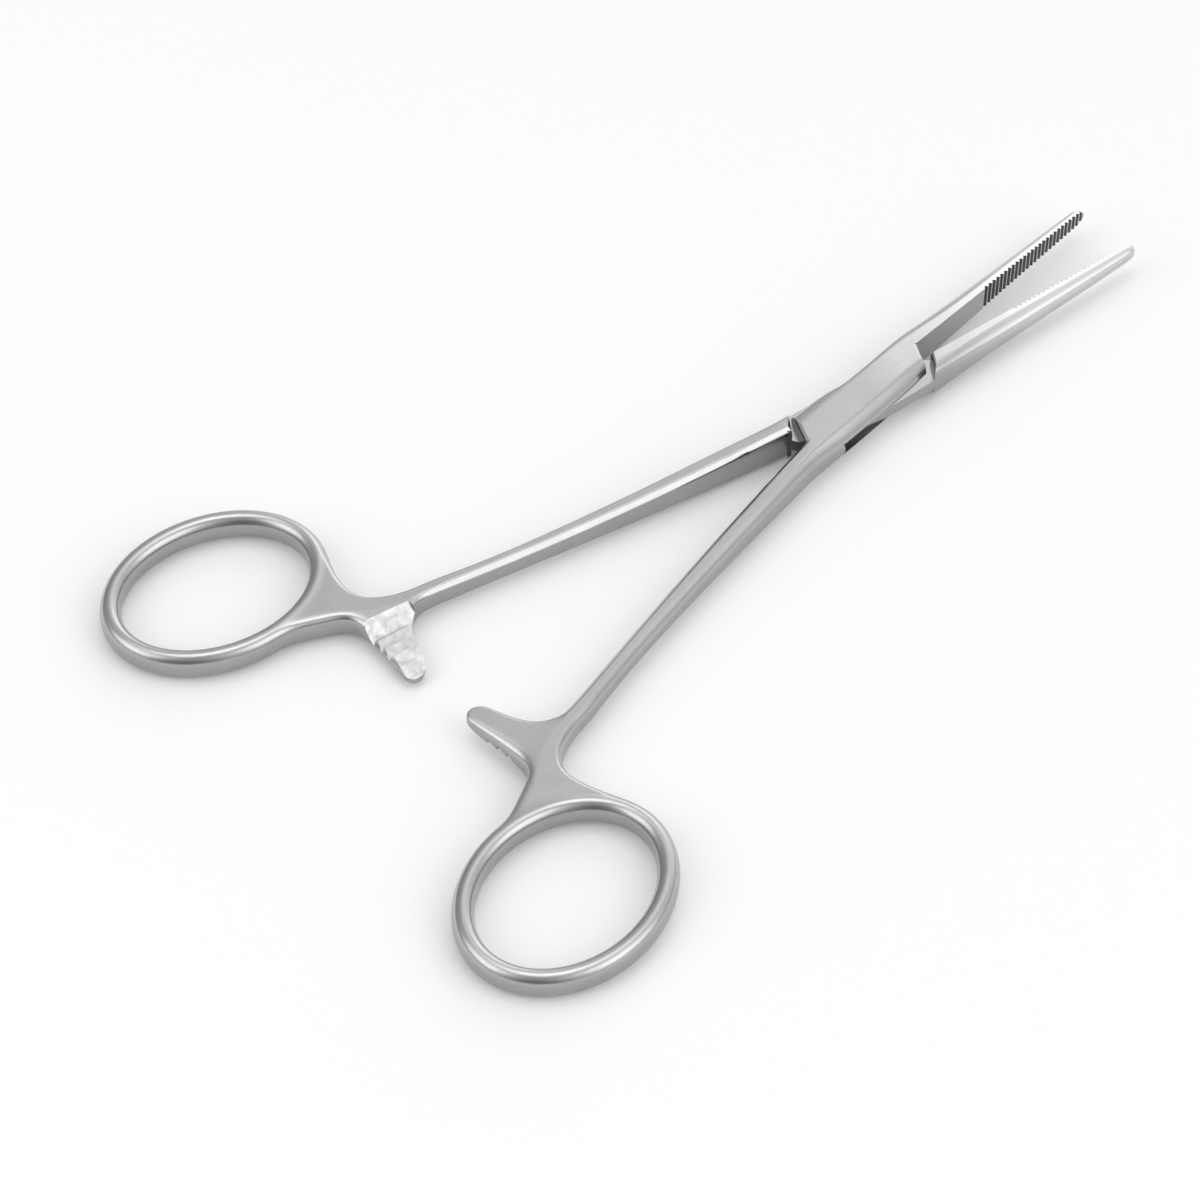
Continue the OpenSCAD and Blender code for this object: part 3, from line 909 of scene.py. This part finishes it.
def pin_cutter(play, material):
    bpy.ops.object.select_all(action="DESELECT")
    bpy.ops.mesh.primitive_cylinder_add(
        vertices=PIN_SIDES, radius=(PIN_R + play) * MM, depth=3 * BOX_H * MM, location=(0, 0, MID_Z * MM)
    )
    cutter = bpy.context.active_object
    bpy.ops.object.transform_apply(location=True, rotation=True, scale=True)
    cutter.data.materials.append(material)
    return cutter


MERGE = 0.004 * MM
SMOOTH_ANGLE = math.radians(25)


def finish_half(piece):
    """Merges slivers that the cuts leave, and drops points in the middle of a plain edge"""
    only(piece)
    bpy.ops.object.mode_set(mode="EDIT")
    bpy.ops.mesh.select_mode(type="VERT")
    bpy.ops.mesh.select_all(action="SELECT")
    bpy.ops.mesh.remove_doubles(threshold=MERGE)
    bpy.ops.mesh.dissolve_degenerate(threshold=MERGE)
    bpy.ops.mesh.select_all(action="DESELECT")
    bpy.ops.object.mode_set(mode="OBJECT")
    branches = [0] * len(piece.data.vertices)
    for edge in piece.data.edges:
        for index in edge.vertices:
            branches[index] += 1
    for vertex in piece.data.vertices:
        vertex.select = branches[vertex.index] == 2
    bpy.ops.object.mode_set(mode="EDIT")
    bpy.ops.mesh.dissolve_verts()
    bpy.ops.object.mode_set(mode="OBJECT")
    bpy.ops.object.shade_smooth_by_angle(angle=SMOOTH_ANGLE)


def settle(piece, body, node):
    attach(piece, body)
    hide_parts(node)


# Finishes

def new_material(name):
    material = bpy.data.materials.new(name)
    material.use_nodes = True
    tree = material.node_tree
    tree.nodes.clear()
    output = tree.nodes.new("ShaderNodeOutputMaterial")
    shader = tree.nodes.new("ShaderNodeBsdfPrincipled")
    tree.links.new(shader.outputs["BSDF"], output.inputs["Surface"])
    return material, tree, shader


def math_node(tree, operation, *values):
    """Math node whose inputs are links or plain numbers; returns its output"""
    node = tree.nodes.new("ShaderNodeMath")
    node.operation = operation
    for socket, value in zip(node.inputs, values):
        if isinstance(value, (int, float)):
            socket.default_value = value
        else:
            tree.links.new(value, socket)
    return node.outputs["Value"]


def noise_node(tree, place, scale, detail):
    node = tree.nodes.new("ShaderNodeTexNoise")
    node.inputs["Scale"].default_value = scale
    node.inputs["Detail"].default_value = detail
    tree.links.new(place, node.inputs["Vector"])
    return node.outputs["Fac"]


def part_of(tree, vector, axis):
    node = tree.nodes.new("ShaderNodeSeparateXYZ")
    tree.links.new(vector, node.inputs["Vector"])
    return node.outputs[axis]


def soft_step(tree, value, low, high, start=0, end=1):
    """Goes softly from the start to the end as the value goes from low to high"""
    node = tree.nodes.new("ShaderNodeMapRange")
    node.interpolation_type = "SMOOTHSTEP"
    node.inputs["From Min"].default_value = low
    node.inputs["From Max"].default_value = high
    node.inputs["To Min"].default_value = start
    node.inputs["To Max"].default_value = end
    tree.links.new(value, node.inputs["Value"])
    return node.outputs["Result"]


# Painted light brightens the steel along the jaws, and painted shade darkens the flanks
JAW_LIGHT_FROM = 6
JAW_LIGHT_TO = 34
FLANK_FROM = 0.1
FLANK_TO = 0.75
FLANK_SHADE = 0.26
# Fine grain and brushing of the steel
GRAIN_SCALE = 5200
BRUSH_SCALE = 4200
BRUSH_STRETCH = (0.06, 1, 1)
SPECK = 0.26
BUMP_STRENGTH = 0.5


def steel_grain_and_painted_light():
    """Node group of worked steel: grain, faint brushing, mottling, painted light that grows along the jaws,
    and painted shade on the flanks
    """
    if "steel_grain_and_painted_light" in bpy.data.node_groups:
        return bpy.data.node_groups["steel_grain_and_painted_light"]
    group = bpy.data.node_groups.new("steel_grain_and_painted_light", "ShaderNodeTree")
    group.interface.new_socket("Colour", in_out="INPUT", socket_type="NodeSocketColor")
    for name in ("Roughness", "Mottle Scale", "Mottle", "Jaw Light"):
        group.interface.new_socket(name, in_out="INPUT", socket_type="NodeSocketFloat")
    for name, kind in (("Colour", "Color"), ("Roughness", "Float"), ("Height", "Float")):
        group.interface.new_socket(name, in_out="OUTPUT", socket_type="NodeSocket" + kind)
    given = group.nodes.new("NodeGroupInput").outputs
    made = group.nodes.new("NodeGroupOutput").inputs
    coordinates = group.nodes.new("ShaderNodeTexCoord").outputs
    place = coordinates["Object"]
    stretch = group.nodes.new("ShaderNodeVectorMath")
    stretch.operation = "MULTIPLY"
    stretch.inputs[1].default_value = BRUSH_STRETCH
    group.links.new(place, stretch.inputs[0])
    fine = noise_node(group, place, GRAIN_SCALE, 2)
    brushed = noise_node(group, stretch.outputs["Vector"], BRUSH_SCALE, 2)
    mottled = noise_node(group, place, 1, 3)
    group.links.new(given["Mottle Scale"], mottled.node.inputs["Scale"])
    grain = math_node(group, "MULTIPLY", math_node(group, "ADD", fine, brushed), 0.5)
    cloud = math_node(group, "MULTIPLY", math_node(group, "SUBTRACT", mottled, 0.5), given["Mottle"])
    speck = math_node(group, "MULTIPLY", math_node(group, "SUBTRACT", grain, 0.5), SPECK)
    # Painted light: the steel grows brighter from the box towards the jaw tips
    along = soft_step(group, part_of(group, place, "X"), JAW_LIGHT_FROM * MM, JAW_LIGHT_TO * MM)
    # Painted shade: steel whose normal leans away from upright is darkened by FLANK_SHADE
    facing = math_node(group, "ABSOLUTE", part_of(group, coordinates["Normal"], "Z"))
    flank = math_node(group, "SUBTRACT", 1.0, soft_step(group, facing, FLANK_FROM, FLANK_TO))
    painted_flank_shade = math_node(group, "SUBTRACT", 1.0, math_node(group, "MULTIPLY", flank, FLANK_SHADE))
    varied = math_node(group, "ADD", math_node(group, "ADD", cloud, speck), 1.0)
    jaw_lit = math_node(group, "ADD", varied, math_node(group, "MULTIPLY", along, given["Jaw Light"]))
    shade = math_node(group, "MULTIPLY", jaw_lit, painted_flank_shade)
    tint = group.nodes.new("ShaderNodeVectorMath")
    tint.operation = "SCALE"
    group.links.new(given["Colour"], tint.inputs[0])
    group.links.new(shade, tint.inputs["Scale"])
    group.links.new(tint.outputs["Vector"], made["Colour"])
    rough = math_node(group, "MULTIPLY", math_node(group, "SUBTRACT", 2.0, varied), given["Roughness"])
    group.links.new(rough, made["Roughness"])
    group.links.new(grain, made["Height"])
    return group


def steel(name, colour, roughness, mottle_scale, mottle, painted_jaw_light, relief):
    """Worked steel with its own colour, roughness, mottling, painted light along the jaws and depth of
    grain
    """
    if name in bpy.data.materials:
        return bpy.data.materials[name]
    material, tree, shader = new_material(name)
    shader.inputs["Metallic"].default_value = 1
    grain = tree.nodes.new("ShaderNodeGroup")
    grain.node_tree = steel_grain_and_painted_light()
    grain.inputs["Colour"].default_value = (*colour, 1)
    grain.inputs["Roughness"].default_value = roughness
    grain.inputs["Mottle Scale"].default_value = mottle_scale
    grain.inputs["Mottle"].default_value = mottle
    grain.inputs["Jaw Light"].default_value = painted_jaw_light
    bump = tree.nodes.new("ShaderNodeBump")
    bump.inputs["Strength"].default_value = BUMP_STRENGTH
    bump.inputs["Distance"].default_value = relief
    tree.links.new(grain.outputs["Colour"], shader.inputs["Base Color"])
    tree.links.new(grain.outputs["Roughness"], shader.inputs["Roughness"])
    tree.links.new(grain.outputs["Height"], bump.inputs["Height"])
    tree.links.new(bump.outputs["Normal"], shader.inputs["Normal"])
    return material


def satin_steel(finish):
    return steel(
        "forceps_satin", finish.satin_colour, roughness=0.22, mottle_scale=260, mottle=0.14,
        painted_jaw_light=0.5, relief=0.000011
    )


# Milled steel: the roughness is its milled finish, and the dark colour is painted shade in the slot,
# recesses, notches and serration grooves
def milled_shade_steel(finish):
    return steel(
        "forceps_milled_shade", finish.milled_shade_colour, roughness=0.45, mottle_scale=900, mottle=0.3,
        painted_jaw_light=0, relief=0.00002
    )


def ground_steel(finish):
    return steel(
        "forceps_ground", finish.ground_colour, roughness=0.42, mottle_scale=1100, mottle=0.7,
        painted_jaw_light=0, relief=0.00002
    )


class FORCEPS_OT_box_half(bpy.types.Operator):
    """Forge the box half with its slotted lock, upper ratchet arm and jaw"""

    bl_idname = "forceps.box_half"
    bl_label = "Box Half"

    def execute(self, context):
        sizes, finish = context.scene.forceps_sizes, context.scene.forceps_finish
        outline, place = Outline(sizes, winged=True), Pose(mirrored=False)
        satin, ground, milled_shade = satin_steel(finish), ground_steel(finish), milled_shade_steel(finish)
        piece = forge_half("box_half_forging", place, outline, sizes)
        piece.data.materials.append(satin)
        cut_away(piece, box_cutters(place, outline, satin, milled_shade))
        cut_away(piece, [serration_cutter(place, outline, sizes, milled_shade), pin_cutter(0, milled_shade)])
        cut_away(piece, ratchet_cutters(place, sizes, satin, ground, upper=True))
        finish_half(piece)
        settle(piece, "box_side", "box_half")
        return {"FINISHED"}


class FORCEPS_OT_tongue_half(bpy.types.Operator):
    """Forge the tongue half with its thin crossing, lower ratchet arm and jaw"""

    bl_idname = "forceps.tongue_half"
    bl_label = "Tongue Half"

    def execute(self, context):
        sizes, finish = context.scene.forceps_sizes, context.scene.forceps_finish
        outline, place = Outline(sizes, winged=False), Pose(mirrored=True)
        satin, ground, milled_shade = satin_steel(finish), ground_steel(finish), milled_shade_steel(finish)
        piece = forge_half("tongue_half_forging", place, outline, sizes)
        piece.data.materials.append(satin)
        cut_away(piece, tongue_cutters(place, outline, satin, milled_shade))
        cut_away(piece, [serration_cutter(place, outline, sizes, milled_shade), pin_cutter(PIN_PLAY, milled_shade)])
        cut_away(piece, ratchet_cutters(place, sizes, satin, ground, upper=False))
        finish_half(piece)
        settle(piece, "tongue_side", "tongue_half")
        return {"FINISHED"}


class FORCEPS_OT_pin(bpy.types.Operator):
    """Finish the flush pivot pin in the same satin steel"""

    bl_idname = "forceps.pin"
    bl_label = "Pivot Pin"

    def execute(self, context):
        pin = frame["nodes"]["pivot_pin"]
        pin.data.materials.clear()
        pin.data.materials.append(satin_steel(context.scene.forceps_finish))
        return {"FINISHED"}


# Stage
AIM = Vector((-45.9, -1.52, 2.5)) * MM
LIGHT_AIM = Vector((-24, 0, 2.5)) * MM
CAMERA_AZIMUTH = -133.23
CAMERA_ELEVATION = 48.35
CAMERA_DISTANCE = 417.1 * MM
CAMERA_LENS = 107.03
CAMERA_SENSOR = 36
LAMP_DISTANCE = 0.5
LAMP_SIZE = 0.4
# Dark opening of the tent round the camera: angles of its edge and its core, and what light is left there
OPENING_EDGE = 62
OPENING_CORE = 24
OPENING_LEFT = 0.15
# The rings are thinner than the box and the instrument lies on both, so the floor leans up to the rings
FLOOR_SIZE = 6
FLOOR_LEAN = 0.45
FLOOR_DROP = 0.15 * MM
FLOOR_LIFT = 0.07


def way(azimuth, elevation):
    azimuth, elevation = math.radians(azimuth), math.radians(elevation)
    flat = math.cos(elevation)
    return Vector((flat * math.cos(azimuth), flat * math.sin(azimuth), math.sin(elevation)))


def beside_camera(turn, elevation):
    """Way to a light, turned from straight behind the object to the camera's right"""
    return way(CAMERA_AZIMUTH + 180 - turn, elevation)


def softbox(name, direction, power):
    bpy.ops.object.light_add(type="AREA", location=LIGHT_AIM + direction * LAMP_DISTANCE)
    lamp = bpy.context.active_object
    lamp.name = name
    lamp.data.shape = "SQUARE"
    lamp.data.size = LAMP_SIZE
    lamp.data.energy = power
    lamp.rotation_euler = direction.to_track_quat("Z", "Y").to_euler()


def facing_node(tree, direction, towards):
    """Cosine of the angle between the direction and the given way"""
    node = tree.nodes.new("ShaderNodeVectorMath")
    node.operation = "DOT_PRODUCT"
    node.inputs[1].default_value = towards
    tree.links.new(direction, node.inputs[0])
    return node.outputs["Value"]


def glow(tree, direction, towards, width, strength):
    """Soft bright patch on the tent round one direction"""
    sharpness = 1 / math.radians(width) ** 2
    facing = facing_node(tree, direction, towards)
    fall = math_node(tree, "MULTIPLY_ADD", facing, sharpness, -sharpness)
    return math_node(tree, "MULTIPLY", math_node(tree, "EXPONENT", fall), strength)


def light_tent(stage):
    """Pale tent all round, brighter on its sides, with a darker opening where the camera looks in"""
    world = bpy.data.worlds.new("light_tent")
    world.use_nodes = True
    tree = world.node_tree
    background = tree.nodes["Background"]
    background.inputs["Color"].default_value = (1, 1, 1, 1)
    direction = tree.nodes.new("ShaderNodeTexCoord").outputs["Generated"]
    facing = facing_node(tree, direction, way(CAMERA_AZIMUTH, CAMERA_ELEVATION))
    edge, core = math.cos(math.radians(OPENING_EDGE)), math.cos(math.radians(OPENING_CORE))
    total = soft_step(tree, facing, edge, core, stage.tent_light, OPENING_LEFT * stage.tent_light)
    for towards, width, strength in (
        (beside_camera(25, 22), 22, stage.back_light),
        (beside_camera(12, 33), 6.5, stage.back_light),
        (beside_camera(0, 78), 13, stage.top_light),
        (beside_camera(122, 36), 24, stage.right_light),
        (beside_camera(-115, 38), 21, stage.left_light),
    ):
        total = math_node(tree, "ADD", total, glow(tree, direction, towards, width, strength))
    tree.links.new(total, background.inputs["Strength"])
    return world


def plain_floor(stage):
    """Pale floor that shows white where nothing shades it"""
    bpy.ops.object.select_all(action="DESELECT")
    bpy.ops.mesh.primitive_plane_add(
        size=FLOOR_SIZE, location=(0, 0, -FLOOR_DROP), rotation=(0, math.radians(FLOOR_LEAN), 0)
    )
    floor = bpy.context.active_object
    floor.name = "floor"
    material, tree, shader = new_material("plain_floor")
    shader.inputs["Base Color"].default_value = (*stage.floor_colour, 1)
    shader.inputs["Roughness"].default_value = 0.9
    shader.inputs["Specular IOR Level"].default_value = 0.1
    shader.inputs["Emission Color"].default_value = (1, 1, 1, 1)
    path = tree.nodes.new("ShaderNodeLightPath").outputs
    seen = math_node(tree, "ADD", path["Is Camera Ray"], path["Is Glossy Ray"])
    shown = math_node(tree, "ADD", seen, path["Is Transmission Ray"])
    tree.links.new(math_node(tree, "MULTIPLY", shown, FLOOR_LIFT), shader.inputs["Emission Strength"])
    floor.data.materials.append(material)


class FORCEPS_OT_stage(bpy.types.Operator):
    """Lay the floor and set up the light and the camera"""

    bl_idname = "forceps.stage"
    bl_label = "Stage"

    def execute(self, context):
        scene, stage = context.scene, context.scene.forceps_stage
        scene.view_settings.view_transform = "Standard"
        plain_floor(stage)
        scene.world = light_tent(stage)
        softbox("right_softbox", beside_camera(120, 37), stage.lamp_power)
        softbox("left_softbox", beside_camera(-110, 40), stage.lamp_power)
        back = way(CAMERA_AZIMUTH, CAMERA_ELEVATION)
        bpy.ops.object.camera_add(location=AIM + back * CAMERA_DISTANCE)
        camera = context.active_object
        camera.rotation_euler = back.to_track_quat("Z", "Y").to_euler()
        camera.data.lens = CAMERA_LENS
        camera.data.sensor_width = CAMERA_SENSOR
        camera.data.clip_start = 0.01
        scene.camera = camera
        return {"FINISHED"}


class FORCEPS_PT_parts(bpy.types.Panel):
    """Lists the pieces of the forceps"""

    bl_label = "Forceps"
    bl_idname = "FORCEPS_PT_parts"
    bl_space_type = "VIEW_3D"
    bl_region_type = "UI"
    bl_category = "Forceps"

    def draw(self, context):
        for operator in OPERATORS:
            self.layout.operator(operator.bl_idname)


GROUPS = {"forceps_sizes": ForcepsSizes, "forceps_finish": ForcepsFinish, "forceps_stage": ForcepsStage}
OPERATORS = (FORCEPS_OT_box_half, FORCEPS_OT_tongue_half, FORCEPS_OT_pin, FORCEPS_OT_stage)
CLASSES = (*GROUPS.values(), *OPERATORS, FORCEPS_PT_parts)


def register():
    for cls in CLASSES:
        bpy.utils.register_class(cls)
    for name, group in GROUPS.items():
        setattr(bpy.types.Scene, name, PointerProperty(type=group))


def unregister():
    for name in GROUPS:
        delattr(bpy.types.Scene, name)
    for cls in reversed(CLASSES):
        bpy.utils.unregister_class(cls)


def main():
    register()
    bpy.ops.forceps.box_half()
    bpy.ops.forceps.tongue_half()
    bpy.ops.forceps.pin()
    bpy.ops.forceps.stage()


if __name__ == "__main__":
    main()
